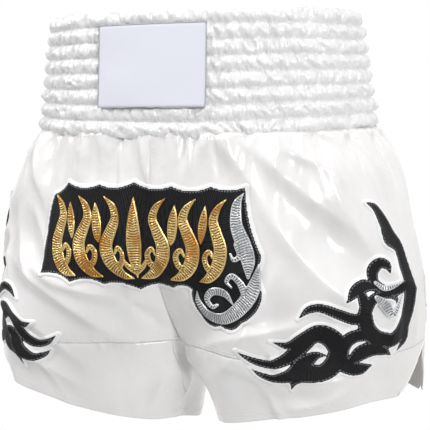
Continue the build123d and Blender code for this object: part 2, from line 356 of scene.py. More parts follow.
def cloth_material(name, colour, shade, roughness, weave, bump, sheen=0.3, stretch=(1, 1, 1),
                   specular=0.4, relief_mm=0.4):
    """Cloth that drifts between two colours, with a bump whose fineness is its weave."""
    material, tree, shader = new_material(name)
    place = tree.nodes.new("ShaderNodeTexCoord")
    scale = tree.nodes.new("ShaderNodeMapping")
    scale.inputs["Scale"].default_value = stretch
    tree.links.new(place.outputs["Object"], scale.inputs["Vector"])
    where = scale.outputs["Vector"]
    tint = mix_node(tree, "RGBA", noise_node(tree, where, 22, detail=3), (*colour, 1), (*shade, 1))
    tree.links.new(tint, shader.inputs["Base Color"])
    add_relief(tree, shader, noise_node(tree, where, weave), bump, relief_mm)
    shader.inputs["Roughness"].default_value = roughness
    shader.inputs["Specular IOR Level"].default_value = specular
    shader.inputs["Sheen Weight"].default_value = sheen
    shader.inputs["Sheen Roughness"].default_value = 0.4
    return material


def stitch_line(tree, along, deep, colour, distance, pitch):
    """Adds a dashed grey line of stitches to a colour, at one distance inside the outline."""
    line = math_node(tree, "COMPARE", deep, distance * 0.001, 0.0005)
    wave = math_node(tree, "SINE", math_node(tree, "MULTIPLY", along, 2 * math.pi * 1000 / pitch))
    dash = math_node(tree, "GREATER_THAN", wave, -0.1)
    both = math_node(tree, "MULTIPLY", line, dash)
    return mix_node(tree, "RGBA", both, colour, (0.17, 0.17, 0.18, 1))


def thread_material(name, low, high, metallic, roughness, rib, bump, rim=None, dashes=None, drift=None):
    """Satin stitch: ribs along the outline (UV x) and, for some, a plain corded rim inside it (UV y). The
    colour runs from low in the rib grooves, a painted shade, to high on the crests, a painted highlight, and
    the rim takes one tone most of the way to high.
    """
    material, tree, shader = new_material(name)
    place = tree.nodes.new("ShaderNodeUVMap")
    place.uv_map = "UVMap"
    split = tree.nodes.new("ShaderNodeSeparateXYZ")
    tree.links.new(place.outputs["UV"], split.inputs["Vector"])
    along, deep = split.outputs["X"], split.outputs["Y"]
    wobble = math_node(tree, "MULTIPLY", noise_node(tree, place.outputs["UV"], 260), 5)
    phase = math_node(tree, "MULTIPLY_ADD", along, 2 * math.pi * 1000 / rib, wobble)
    height = range_node(tree, math_node(tree, "SINE", phase), from_min=-1)
    if rim:
        # The rim gets one fixed rib height: a flat bump, and a colour most of the way to the painted
        # highlight
        inside = range_node(tree, deep, rim * 0.0008, rim * 0.0014, smoothed=True)
        height = mix_node(tree, "FLOAT", inside, 0.8, height)
    # Painted light: the rib height picks the colour, so grooves get painted shade and crests a painted
    # highlight
    colour = mix_node(tree, "RGBA", height, (*low, 1), (*high, 1))
    if drift:
        where = tree.nodes.new("ShaderNodeTexCoord").outputs["Object"]
        share = range_node(tree, noise_node(tree, where, 45), 0.48, 0.64, to_max=0.75)
        colour = mix_node(tree, "RGBA", share, colour, (*drift, 1))
    if dashes:
        colour = stitch_line(tree, along, deep, colour, *dashes)
    tree.links.new(colour, shader.inputs["Base Color"])
    add_relief(tree, shader, height, bump, 0.6)
    shader.inputs["Metallic"].default_value = metallic
    shader.inputs["Roughness"].default_value = roughness
    shader.inputs["Specular IOR Level"].default_value = 0.25 if metallic else 0.12
    return material


SATIN = cloth_material("satin", (0.90, 0.90, 0.902), (0.81, 0.78, 0.765), 0.25, 80, 0.26, 0.1,
                       specular=0.9, relief_mm=2.4)
RUCHED = cloth_material("ruched_satin", (0.90, 0.90, 0.90), (0.82, 0.82, 0.822), 0.27, 250, 0.8, 0.1,
                        stretch=(1, 1, 0.45), specular=0.9, relief_mm=2.8)
# The matte reverse of the satin. Its darker grey is painted shade for the inside of the shorts, not a colour
# of the cloth.
SHADED_REVERSE = cloth_material("satin_reverse_painted_shade", (0.70, 0.685, 0.665), (0.62, 0.605, 0.585), 0.6, 300, 0.2, 0.2)
LINING = cloth_material("lining", (0.80, 0.80, 0.79), (0.74, 0.74, 0.73), 0.75, 600, 0.25)
ELASTIC = cloth_material("knit_elastic", (0.82, 0.82, 0.80), (0.74, 0.74, 0.72), 0.7, 500, 0.5,
                         stretch=(1, 1, 4))
PATCH = cloth_material("patch_twill", (0.77, 0.78, 0.86), (0.75, 0.76, 0.84), 0.62, 800, 0.15, 0.1,
                       specular=0.2)
PATCH_EDGE = cloth_material("patch_edge", (0.60, 0.60, 0.61), (0.30, 0.30, 0.31), 0.6, 420, 0.4)
LABEL = cloth_material("label_satin", (0.86, 0.86, 0.86), (0.82, 0.82, 0.82), 0.4, 900, 0.1)
BINDING = cloth_material("binding_satin", (0.92, 0.91, 0.88), (0.86, 0.85, 0.82), 0.42, 800, 0.12)
STITCH = cloth_material("white_thread", (0.88, 0.88, 0.88), (0.78, 0.78, 0.78), 0.55, 900, 0.3)
EDGING = cloth_material("white_stitch", (0.95, 0.95, 0.95), (0.84, 0.84, 0.84), 0.5, 620, 0.4)
# Thread colours: first the painted shade of the rib grooves, then the painted highlight of the crests; drift
# is a random change of tone
BLACK = thread_material("black_thread", (0.006, 0.006, 0.007), (0.020, 0.020, 0.022), 0.0, 0.5, 1.5, 0.4,
                        dashes=(2.0, 2.4))
GOLD = thread_material("gold_thread", (0.13, 0.055, 0.006), (0.98, 0.72, 0.30), 0.6, 0.28, 2.2, 0.9,
                       rim=1.4, drift=(0.44, 0.17, 0.02))
FLOOR = cloth_material("floor", (0.93, 0.93, 0.93), (0.92, 0.92, 0.92), 0.9, 40, 0, 0)
SILVER = thread_material("silver_thread", (0.09, 0.092, 0.10), (0.96, 0.97, 0.98), 0.4, 0.3, 2.2, 0.9,
                         rim=1.2, drift=(0.34, 0.35, 0.37))

# ---- waistband
BAND_COLUMNS, ROW_STEPS = 640, 9
# The folded top edge: heights, and how far the cloth lies inside the plain band there
TOP_FOLD = ((-1.6, -3.4), (-0.5, -2.6), (0.1, -1.2))


def band_size(z):
    """Half width and half depth of the plain waistband at a height."""
    share = np.clip(-z / BAND_HEIGHT, 0, 1.05)
    return [top + share * (seam - top) for top, seam in zip(WAIST_TOP, WAIST_SEAM)]


def band_ring(angle, z):
    """Points and outward normals of the plain waistband; angle 0 is the front, pi/2 is +X."""
    width, depth = band_size(z)
    x, y = width * np.sin(angle), -depth * np.cos(angle)
    nx, ny = np.sin(angle) / width, -np.cos(angle) / depth
    size = np.hypot(nx, ny)
    return x, y, nx / size, ny / size


def ruffle(angle, z):
    """Height of the gathered cloth over the elastic rows."""
    row = np.clip(-z / BAND_HEIGHT, 0, 0.9999) * ROWS
    puff = np.sin(math.pi * (row % 1.0)) ** 0.7
    row = np.floor(row)
    x, y = 160 * np.sin(angle), -110 * np.cos(angle)
    drift = z * 0.25 + 5 * noise(x / 30, y / 30, z / 12, 11)
    gather = noise((x + drift) / 4.0, (y + drift) / 4.0, row * 1.37 + z / 30, 12)
    ridge = 1 - 2.2 * np.abs(noise((x + drift) / 7.5, (y + drift) / 7.5, row * 2.3 + z / 40, 19))
    crumple = 1 - 2 * np.abs(noise((x - drift) / 8.5, (y + drift) / 8.5, z / 9, 13))
    broad = noise(x / 20, y / 20, z / 16, 14)
    height = 1.5 + 1.5 * gather + 1.5 * ridge + 0.9 * crumple + 0.9 * broad
    return np.clip(puff * height + 0.4 * gather - 1.2 * (1 - puff), -1.3, 6.5)


def make_waistband():
    """The gathered outer cloth, with a folded top edge and flattened under the patch."""
    fold_z, fold_out = np.array(TOP_FOLD).T
    rows = np.linspace(0, -BAND_HEIGHT, ROWS * ROW_STEPS + 1)
    angle, z = np.meshgrid(np.linspace(0, 2 * math.pi, BAND_COLUMNS, endpoint=False),
                           np.concatenate([fold_z, rows, [-BAND_HEIGHT - 0.6]]))
    x, y, nx, ny = band_ring(angle, z)
    out = ruffle(angle, z) * (0.35 + 0.65 * smooth(-z, 0, 4))
    covered = smooth(-np.abs(x - PATCH_SHIFT), -PATCH_HALF, 3 - PATCH_HALF) * (y < 0)
    covered = covered * smooth(z, PATCH_BOTTOM, PATCH_BOTTOM + 3) * smooth(-z, -PATCH_TOP, 3 - PATCH_TOP)
    out = out + (np.minimum(out, 3.0) - out) * covered
    out[:len(TOP_FOLD)] = fold_out[:, None]
    out[-1] = -1.6
    # Both edges are uneven, and bow away from each other at the front
    front = np.clip(np.cos(angle), 0, 1) ** 2
    share = -z / BAND_HEIGHT
    rise = (2.2 * front + 0.8 * noise(x / 6, y / 6, 0, 15)) * (1 - share) ** 2
    drop = (5.0 * front + 0.8 * noise(x / 6, y / 6, 9, 15)) * share**2
    points = np.stack([x + nx * out, y + ny * out, z + rise - drop], -1)
    band = piece("waistband_ruched", points, grid_faces(*z.shape, wrap=True, flip=True),
                 "waistband_shell", RUCHED)
    thicken(band, 0.6)


def make_lining():
    """The stretched lining inside the elastic rows."""
    angle, z = np.meshgrid(np.linspace(0, 2 * math.pi, 360, endpoint=False),
                           np.linspace(-0.5, -BAND_HEIGHT, ROWS * 8 + 1))
    x, y, nx, ny = band_ring(angle, z)
    puff = np.sin(math.pi * ((-z / BAND_HEIGHT * ROWS) % 1.0))
    out = -3.1 - 0.8 * puff * (1 + 0.6 * noise(x / 6, y / 6, z / 40, 16))
    points = np.stack([x + nx * out, y + ny * out, z], -1)
    lining = piece("waistband_lining_cloth", points, grid_faces(*z.shape, wrap=True, flip=True),
                   "waistband_lining", LINING)
    thicken(lining, 0.5)


def make_elastics():
    """The knitted elastics, which keep their CAD shape."""
    for row in range(ROWS):
        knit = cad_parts[f"elastic_row_{row + 1}"]
        knit.data.materials.clear()
        knit.data.materials.append(ELASTIC)


def make_label():
    """The blank size label, sewn at its top to the inside of the back."""
    x, z = np.meshgrid(np.linspace(-LABEL_HALF, LABEL_HALF, 25), np.linspace(LABEL_TOP, LABEL_BOTTOM, 31))
    width, depth = (size - 5.0 for size in band_size(z))
    curl = 2.5 * smooth(-z, 40, 60) * (1 + 0.4 * np.sin(x / 9))
    y = depth * np.sqrt(1 - (x / width) ** 2) - curl
    label = piece("size_label_blank", np.stack([x, y, z], -1), grid_faces(*x.shape), "size_label",
                  LABEL)
    thicken(label, 0.3)


# ---- waistband patch
EDGE_STEP, EDGE_R = 0.535, 0.4


def patch_point(x, z, lift):
    """A point on the patch's surface, which lies smoothly over the ruffles."""
    width, depth = band_size(z)
    swell = 0.5 * noise(x / 34, 0, z / 26, 17)
    x = x + PATCH_SHIFT
    y = -(depth + PATCH_LIFT + lift + swell) * np.sqrt(1 - (x / (width + PATCH_LIFT + lift)) ** 2)
    return np.stack([x, y, z], -1)


def make_patch():
    """The blank patch, whose rim its stitches pull down."""
    x, z = np.meshgrid(np.linspace(-PATCH_HALF, PATCH_HALF, 91), np.linspace(PATCH_TOP, PATCH_BOTTOM, 61))
    edge = np.minimum(PATCH_HALF - np.abs(x), np.minimum(PATCH_TOP - z, z - PATCH_BOTTOM))
    lift = -0.7 * (1 - smooth(edge, 0, 1.6))
    patch = piece("waist_patch_cloth", patch_point(x, z, lift), grid_faces(*x.shape, flip=True),
                  "waist_patch", PATCH)
    thicken(patch, 0.8)


def make_patch_edge():
    """The overlock stitching round the patch: a thin, wavy cord with slanted ribs."""
    corners = np.array([(-PATCH_HALF, PATCH_TOP), (PATCH_HALF, PATCH_TOP), (PATCH_HALF, PATCH_BOTTOM),
                        (-PATCH_HALF, PATCH_BOTTOM)])
    run = []
    for start, end in zip(corners, np.roll(corners, -1, axis=0)):
        t = np.linspace(0, 1, int(math.dist(start, end) / EDGE_STEP), endpoint=False)[:, None]
        run.append(start + (end - start) * t)
    run = np.concatenate(run)
    run = run * (1 + noise(run[:, 0] / 7, run[:, 1] / 7, 0, 18)[:, None] / 120)
    ribs = 0.15 * np.sin(np.arange(len(run)) * math.pi / 2)
    rings = []
    for turn in np.linspace(0, 2 * math.pi, 8, endpoint=False):
        spread = EDGE_R * math.cos(turn)
        x = run[:, 0] * (1 + spread / 50)
        z = run[:, 1] + 0.9 * spread * np.sign(run[:, 1] + 46)
        rings.append(patch_point(x, z, -0.3 + EDGE_R * math.sin(turn) + ribs))
    piece("waist_patch_overlock", rings, grid_faces(len(rings), len(run), wrap=True, close=True),
          "waist_patch_border", PATCH_EDGE)


# ---- body cloth
PANEL_STEP, PANEL_COLUMNS = 2.1, 150
BINDING_WIDTH = 3.4


def front_centre(z):
    """Angle of the centre front on the +X half, or of the inner leg below the crotch."""
    centre, width, _ = section(z)
    return -np.arcsin(np.clip(centre / width, 0, 1))


def angle_at(z, y):
    """Angle on the outer side where the plain body has a given y."""
    return np.arccos(np.clip(-y / section(z)[2], -1, 1))


def gusset_half(z):
    """Half width of the gusset in side view."""
    share = (BAND_SEAM - z) / (HEM_DROPS[0][1] + BAND_SEAM)
    return GUSSET_TOP_HALF + share * (GUSSET_HEM_HALF - GUSSET_TOP_HALF)


def slit_edge(z, corner_y):
    """The y of a slit edge, which runs straight from the apex to its corner at the hem."""
    return SIDE_SEAM_Y + (BAND_SEAM - z) / (BAND_SEAM - SLIT_HEM) * (corner_y - SIDE_SEAM_Y)


def hem_line(x, y):
    """Height of the hem, which hangs lower behind the side slit than in front of it."""
    return hem_height(x) - BACK_HEM_DROP * smooth(x, 110, 200) * smooth(y, 0, 30)


def on_angle(z, angle):
    """The x and y of the plain +X leg at a height and an angle round it."""
    centre, width, depth = section(z)
    return np.maximum(centre + width * np.sin(angle), 0), -depth * np.cos(angle)


def panel_angles(z, front):
    """Angles of the two edges of a front or back panel at a height."""
    seam = angle_at(z, SIDE_SEAM_Y)
    return (front_centre(z), seam) if front else (seam, math.pi - front_centre(z))


def body_piece(name, side, x, y, z, node):
    """A sewn cloth panel from plain points of the +X half, draped on its own side."""
    made = piece(name, drape(side * x, y, z), grid_faces(*z.shape, flip=side > 0), node, SATIN)
    thicken(made, CLOTH, reverse=SHADED_REVERSE)


def upper_panel(side, word, front):
    """The front or back panel of one leg, down to the hem band."""
    rows = int((BAND_SEAM + BAND_HEIGHT) / -PANEL_STEP)
    u, z = np.meshgrid(np.linspace(0, 1, PANEL_COLUMNS), np.linspace(-BAND_HEIGHT, BAND_SEAM, rows))
    low, high = panel_angles(z, front)
    x, y = on_angle(z, low + (high - low) * u)
    face = "front" if front else "back"
    body_piece(f"{face}_panel_cloth_{word}", side, x, y, z, f"{face}_panel_{word}")


def hem_band(side, word, front):
    """The band below a panel, with a rounded corner where its hem meets the slit."""
    corner_y, radius = (SLIT_FRONT_Y, FRONT_CORNER_R) if front else (SLIT_BACK_Y, BACK_CORNER_R)
    u, t = np.meshgrid(np.linspace(0, 1, PANEL_COLUMNS), np.linspace(0, 1, 40))
    z = BAND_SEAM + (-360 - BAND_SEAM) * t
    # The hem's height depends on x and y, which depend on the height, so a few rounds settle them
    for _ in range(5):
        slit, inner = angle_at(z, slit_edge(z, corner_y)), gusset_half(z) / section(z)[2]
        low, high = (-np.arccos(inner), slit) if front else (slit, 2 * math.pi - np.arccos(-inner))
        x, y = on_angle(z, low + (high - low) * u)
        bottom = hem_line(x[-1:], y[-1:])
        outer = section(bottom)[0] < x[-1:]
        left = np.clip(radius - 1.2 * np.abs(y[-1:] - slit_edge(bottom, corner_y)), 0, radius) * outer
        bottom = bottom + radius - np.sqrt(radius**2 - left**2)
        z = BAND_SEAM + (bottom - BAND_SEAM) * t
    face = "front" if front else "back"
    body_piece(f"hem_band_cloth_{face}_{word}", side, x, y, z, f"hem_band_{face}_{word}")


def make_gusset():
    """The gusset: an inner wall for each leg, joined along the middle at the crotch."""
    u = np.linspace(-1, 1, 81)[None, :]
    # Halving finds the height where each column of the gusset starts at the middle plane
    high, low = np.full(u.shape, BAND_SEAM), np.full(u.shape, CROTCH)
    for _ in range(40):
        middle = (high + low) / 2
        centre, width, depth = section(middle)
        wall = depth * np.sqrt(np.clip(1 - (centre / width) ** 2, 0, 1))
        above = wall > np.abs(u) * gusset_half(middle)
        high, low = np.where(above, middle, high), np.where(above, low, middle)
    t = np.linspace(0, 1, 44)[:, None] ** 1.15
    z = high + (-380 - high) * t
    for _ in range(5):
        y = u * gusset_half(z)
        centre, width, depth = section(z)
        x = np.maximum(centre - width * np.sqrt(np.clip(1 - (y / depth) ** 2, 0, 1)), 0)
        z = high + (hem_height(x[-1:]) - high) * t
    walls = [drape(side * np.maximum(x, 0.001), y, z).reshape(-1, 3) for side in (1, -1)]
    points = np.concatenate(walls)
    points[np.abs(points[:, 0]) < 0.01, 0] = 0
    faces = np.concatenate([grid_faces(*z.shape), grid_faces(*z.shape, flip=True) + z.size])
    made = piece("crotch_gusset_cloth", points, faces, "crotch_gusset", SATIN)
    weld = made.modifiers.new("join", "WELD")
    weld.merge_threshold = 0.00005
    thicken(made, CLOTH, reverse=SHADED_REVERSE)


def slit_binding(side, word, front):
    """The folded binding along one edge of the side slit."""
    corner_y, end, way = (SLIT_FRONT_Y, SLIT_HEM + 2, -1) if front else (SLIT_BACK_Y, SLIT_HEM - 7, 1)
    across, z = np.meshgrid(np.linspace(0, 1, 9), np.linspace(BAND_SEAM + 0.5, end, 36))
    y = slit_edge(z, corner_y) + way * BINDING_WIDTH * (across - 0.12)
    x, _ = on_angle(z, angle_at(z, y))
    lift = -0.9 + 1.9 * np.sin(math.pi * across) ** 0.6 + 0.25 * noise(z / 4, across, 0, 21)
    face = "front" if front else "back"
    piece(f"slit_binding_roll_{face}_{word}", drape(side * x, y, z, lift),
          grid_faces(*z.shape, flip=(side > 0) != front), f"slit_binding_{face}_{word}", BINDING)


# ---- stitches
STITCH_LENGTH, STITCH_GAP, STITCH_R, STITCH_SIDES = 2.3, 1.1, 0.3, 6
# Rings of one stitch: share of its length, and thickness
STITCH_RINGS = ((0.0, 0.15), (0.25, 1.0), (0.75, 1.0), (1.0, 0.15))
SEAM_STITCHES = (2.2, 5.0)
CENTRE_STITCH = 2.2
SIDE_STITCH_ANGLE = 3.5 / 150


def travel_along(run):
    """The length along a run of points, at each of them."""
    return np.concatenate([[0], np.cumsum(np.linalg.norm(np.diff(run, axis=0), axis=1))])


def add_stitch(points, faces, a, b):
    """Adds one raised stitch between two points, as rings that narrow at both ends."""
    way = (b - a) / np.linalg.norm(b - a)
    up = np.cross(way, (0.3, 0.2, 0.93))
    up /= np.linalg.norm(up)
    over = np.cross(way, up)
    base, last = len(points), (len(STITCH_RINGS) - 1) * STITCH_SIDES
    for share, size in STITCH_RINGS:
        for turn in np.arange(STITCH_SIDES) * 2 * math.pi / STITCH_SIDES:
            out = up * math.cos(turn) + over * math.sin(turn)
            points.append(a + way * STITCH_LENGTH * share + STITCH_R * size * out)
    faces.extend(grid_faces(len(STITCH_RINGS), STITCH_SIDES, wrap=True) + base)
    faces.append(range(base + STITCH_SIDES - 1, base - 1, -1))
    faces.append(range(base + last, base + last + STITCH_SIDES))


def stitches(name, runs):
    """Short raised stitches along runs of points."""
    points, faces = [], []
    for run in runs:
        travel = travel_along(run)
        count = int(travel[-1] / (STITCH_LENGTH + STITCH_GAP))
        for begin in np.linspace(STITCH_GAP, travel[-1] - STITCH_LENGTH - STITCH_GAP, count):
            a, b = (np.array([np.interp(s, travel, run[:, k]) for k in range(3)])
                    for s in (begin, begin + STITCH_LENGTH))
            add_stitch(points, faces, a, b)
    piece(name, points, faces, None, STITCH)


def body_run(side, z, angle):
    """A run of points for stitches that lie on one leg's cloth."""
    x, y = on_angle(z, angle)
    return drape(side * x, y, z, 0.05)


def make_stitches():
    """Topstitching of the band seams, the waist, the side seams, the hems and the centre seams."""
    share = np.linspace(0, 1, 160)
    down = np.linspace(-BAND_HEIGHT - 4, BAND_SEAM + 6, 160)
    runs = []
    for side in (1, -1):
        for front in (True, False):
            for offset in SEAM_STITCHES:
                z = np.full(share.shape, BAND_SEAM + offset)
                low, high = panel_angles(z, front)
                runs.append(body_run(side, z, low + (high - low) * share))
            z = np.full(share.shape, -BAND_HEIGHT - 4.0)
            seam = angle_at(z, SIDE_SEAM_Y)
            low, high = (0, seam) if front else (seam, math.pi)
            runs.append(body_run(side, z, low + (high - low) * share))
        runs.append(body_run(side, down, angle_at(down, SIDE_SEAM_Y) + SIDE_STITCH_ANGLE))
        hem = np.linspace(-math.pi / 2 + 0.02, 3 * math.pi / 2 - 0.02, 400)
        z = np.full(hem.shape, -360.0)
        for _ in range(4):
            x, y = on_angle(z, hem)
            z = hem_line(x, y) + 8
        slit = (y > slit_edge(z, SLIT_FRONT_Y) - 3) & (y < slit_edge(z, SLIT_BACK_Y) + 3)
        slit = np.flatnonzero(slit & (x > section(z)[0]))
        for part in (slice(0, slit[0]), slice(slit[-1] + 1, None)):
            runs.append(body_run(side, z[part], hem[part]))
    z = np.linspace(-BAND_HEIGHT - 4, BAND_SEAM + 4, 160)
    centre, width, depth = section(z)
    y = depth * np.sqrt(1 - ((CENTRE_STITCH - centre) / width) ** 2)
    for face in (-1, 1):
        runs.append(drape(np.full(z.shape, CENTRE_STITCH), face * y, z, 0.05))
    stitches("body_topstitching", runs)


# ---- embroidery shapes
def arc_points(start, end, sagitta, count):
    """Points of an arc; a positive sagitta stands out to the left of the run."""
    (x0, z0), (x1, z1) = start, end
    t = np.linspace(0, 1, count)
    chord = math.hypot(x1 - x0, z1 - z0)
    if abs(sagitta) < 1e-6:
        off = 0 * t
    else:
        radius = (chord**2 / 4 + sagitta**2) / (2 * abs(sagitta))
        flat = (t - 0.5) * chord
        off = np.sign(sagitta) * (np.sqrt(np.maximum(radius**2 - flat**2, 0)) - (radius - abs(sagitta)))
    left = (-(z1 - z0) / chord, (x1 - x0) / chord)
    return np.stack([x0 + (x1 - x0) * t + left[0] * off, z0 + (z1 - z0) * t + left[1] * off], -1)


def scroll(*knots):
    """A flowing stroke through (x, drop, half width) knots, as (x, z, half width) along its middle."""
    knots = np.array(knots, float) * (1, -1, 1)
    knots = np.vstack([2 * knots[0] - knots[1], knots, 2 * knots[-1] - knots[-2]])
    line = []
    for a, b, c, d in zip(knots, knots[1:], knots[2:], knots[3:]):
        t = np.linspace(0, 1, max(int(np.hypot(*(c - b)[:2]) / 0.7), 3))[:, None]
        line.append(b + 0.5 * t * (c - a + t * (2 * a - 5 * b + 4 * c - d + t * (3 * b - a - 3 * c + d))))
    line = np.concatenate(line)
    return np.column_stack([line[:, :2], np.maximum(line[:, 2], 0.2)])


def stroke_field(x, z, strokes):
    """Signed distance to the strokes, and the length along the nearest one."""
    points = np.concatenate(strokes)
    # Each stroke counts from its own start, far enough from the others to tell them apart
    travel = np.concatenate([k * 400 + travel_along(s[:, :2]) for k, s in enumerate(strokes)])
    shape = x.shape
    x, z = x.ravel(), z.ravel()
    best, along = np.full(x.shape, 1e9), np.zeros(x.shape)
    for part in np.array_split(np.arange(len(x)), len(x) // 20000 + 1):
        d = np.hypot(x[part, None] - points[:, 0], z[part, None] - points[:, 1]) - points[:, 2]
        near = d.argmin(1)
        best[part], along[part] = d[np.arange(len(near)), near], travel[near]
    return best.reshape(shape), along.reshape(shape)


def outline_field(x, z, polygon):
    """Signed distance to a closed polygon, negative inside, and the length along it."""
    a, b = polygon, np.roll(polygon, -1, axis=0)
    run = b - a
    best, along = np.full(x.shape, 1e9), np.zeros(x.shape)
    inside = np.zeros(x.shape, bool)
    for (ax, az), (_, bz), (rx, rz), s in zip(a, b, run, travel_along(polygon)):
        size = max(rx * rx + rz * rz, 1e-9)
        t = np.clip(((x - ax) * rx + (z - az) * rz) / size, 0, 1)
        d = np.hypot(x - ax - t * rx, z - az - t * rz)
        closer = d < best
        best, along = np.where(closer, d, best), np.where(closer, s + t * math.sqrt(size), along)
        crosses = (az > z) != (bz > z)
        with np.errstate(divide="ignore", invalid="ignore"):
            cut = ax + (z - az) * rx / rz
        inside ^= crosses & (x < cut)
    return np.where(inside, -best, best), along


def applique(name, field, box, cell, grow, height, place, node, material):
    """A raised patch of embroidery: the cells inside a field, with their rim snapped to its outline."""
    x, z = np.meshgrid(np.arange(box[0] - 4, box[1] + 4, cell), np.arange(box[2] - 4, box[3] + 4, cell))
    distance, along = field(x, z)
    distance = distance - grow
    slope_z, slope_x = np.gradient(distance, cell)
    size = np.maximum(np.hypot(slope_x, slope_z), 0.3)
    inside = distance < 0
    keep = inside[:-1, :-1] | inside[1:, :-1] | inside[:-1, 1:] | inside[1:, 1:]
    reach = np.clip(distance, 0, 1.6 * cell)
    x = x - reach * slope_x / size**2
    z = z - reach * slope_z / size**2
    deep = np.maximum(-distance, 0)
    used, quads = np.unique(grid_faces(*x.shape)[keep.ravel()], return_inverse=True)
    x, z, deep, along = (value.ravel()[used] for value in (x, z, deep, along))
    return piece(name, place(x, z, height(deep)), quads.reshape(-1, 4), node, material,
                 uv=np.stack([along, deep], -1))


def padded(base, rise, rim):
    """Heights of embroidery that rises over a rim and is flat inside it."""
    return lambda deep: base + rise * smooth(deep, 0, rim)


def corded(deep):
    """Heights of metal thread: a raised rim, a groove inside it and a full middle."""
    return 1.2 + 1.9 * smooth(deep, 0, 1.3) - 0.7 * smooth(deep, 1.3, 2.2) + 0.5 * smooth(deep, 2.2, 4.5)


def box_round(strokes, margin):
    """Limits of x and z round some strokes."""
    x, z, _ = np.concatenate(strokes).T
    return x.min() - margin, x.max() + margin, z.min() - margin, z.max() + margin


def on_front(x, z, lift):
    """Places emblem points on the front of the body."""
    x = x + EMBLEM_SHIFT
    centre, width, depth = section(z)
    y = -depth * np.sqrt(np.clip(1 - ((np.abs(x) - centre) / width) ** 2, 0.01, 1))
    return drape(x, y, z, lift)


def on_leg(side, face):
    """Places flame points on a leg: u runs sideways in a plane turned towards the leg's side."""
    turn = math.radians(FLAME_TURN if side > 0 else FLAME_TURN_RIGHT)
    ex, ey, wx, wy = math.cos(turn), math.sin(turn), math.sin(turn), -math.cos(turn)

    def place(u, z, lift):
        u, z = u + FLAME_SHIFT[0], z + FLAME_SHIFT[1]
        # The right leg's flame leans outwards towards its top
        u = u + (side < 0) * 0.12 * np.maximum(z + 262, 0)
        # How far from the turned plane through the middle its normal meets the leg's ellipse
        centre, width, depth = section(z)
        px, py = (u * ex - centre) / width, u * ey / depth
        qx, qy = wx / width, wy / depth
        a, b, c = qx**2 + qy**2, 2 * (px * qx + py * qy), px**2 + py**2 - 1
        reach = (-b + np.sqrt(np.maximum(b**2 - 4 * a * c, 0))) / (2 * a)
        return drape(side * (u * ex + reach * wx), face * (u * ey + reach * wy), z, lift)

    return place


# Corners of the emblem's ground: x, drop, and how far the arc to the next corner stands out
EMBLEM_OUTLINE = [
    (-114, 233, 4), (-107, 160, -2), (-90, 148, -4), (-55, 149, -4), (-19, 146, -4), (17, 149, -4),
    (52, 149, -3), (82, 149, -3), (97, 206, 1), (94, 221, -1), (99, 238, 5), (80, 266, 5), (56, 272, 5),
    (36, 264, 3), (31, 240, -3), (14, 241, -4), (-19, 244, -4), (-52, 240, -4), (-84, 239, -4),
]
EMBLEM_BOX = (-122, 114, -282, -144)
EMBLEM_SHIFT = 3.5
EMBLEM_MIDDLE = -19
GOLD_SPREAD, GOLD_WEIGHT = 1.06, 1.25
# Gold ornament on the +X side of the emblem's middle; all but the bud are mirrored to the other side
BUD = [scroll((0, 232, 0.6), (0, 214, 5.5), (0, 196, 6.6), (0, 176, 4.4), (0, 159, 0.5)),
       scroll((1, 226, 2.6), (7, 220, 2.4), (11, 211, 0.5)),
       scroll((-1, 226, 2.6), (-7, 220, 2.4), (-11, 211, 0.5))]
GOLD_FLAMES = [
    [scroll((3, 232, 0.8), (13, 228, 3.8), (23, 217, 5.4), (26, 203, 5.4), (21, 190, 4.6), (17, 179, 3.8),
            (20, 169, 2.8), (29, 160, 0.5)),
     scroll((20, 224, 3.4), (12.5, 219, 2.6), (10.5, 210, 2.4), (15, 205, 2.0), (18, 210, 1.2))],
    [scroll((31, 232, 0.8), (41, 228, 3.8), (50, 217, 5.4), (52.5, 203, 5.4), (48, 190, 4.6), (44, 179, 3.8),
            (47, 169, 2.8), (55, 160, 0.5)),
     scroll((47, 224, 3.4), (39, 219, 2.6), (37, 210, 2.4), (41.5, 205, 2.0), (44.5, 210, 1.2))],
    [scroll((57, 232, 0.8), (66, 228, 3.6), (74, 217, 5.0), (76.5, 203, 5.0), (73, 190, 4.4), (70, 179, 3.6),
            (73, 169, 2.6), (80, 160, 0.5)),
     scroll((72, 224, 3.2), (65, 219, 2.5), (63, 210, 2.3), (67, 205, 1.9), (69.5, 210, 1.2))],
    [scroll((37, 166, 0.5), (36, 175, 3.0), (35, 185, 4.0), (34, 195, 3.0), (33, 201, 0.6)),
     scroll((63, 166, 0.5), (62, 175, 2.6), (61, 184, 3.4), (60, 193, 2.4), (59.5, 199, 0.5))],
]
SILVER_PIECES = [
    [scroll((80, 155, 0.6), (75, 165, 4.2), (75.5, 182, 5.6), (82, 198, 6.6), (86, 212, 6.0), (86, 226, 1.6)),
     scroll((77, 198, 3.6), (79, 207, 2.8), (74, 211, 2.2), (71, 206, 1.3))],
    [scroll((95, 214, 0.8), (90, 236, 6.4), (78, 253, 6.8), (61, 264, 5.6), (45, 262, 4.6), (37, 251, 3.2),
            (37, 241, 0.8)),
     scroll((84, 242, 4.4), (79, 231, 3.4), (72, 225, 2.8), (67, 230, 2.2), (71, 235, 1.4))],
    [scroll((72, 251, 0.8), (64, 241, 3.6), (53, 240, 3.8), (46, 247, 3.2), (50, 254, 2.6), (56, 252, 1.6))],
]
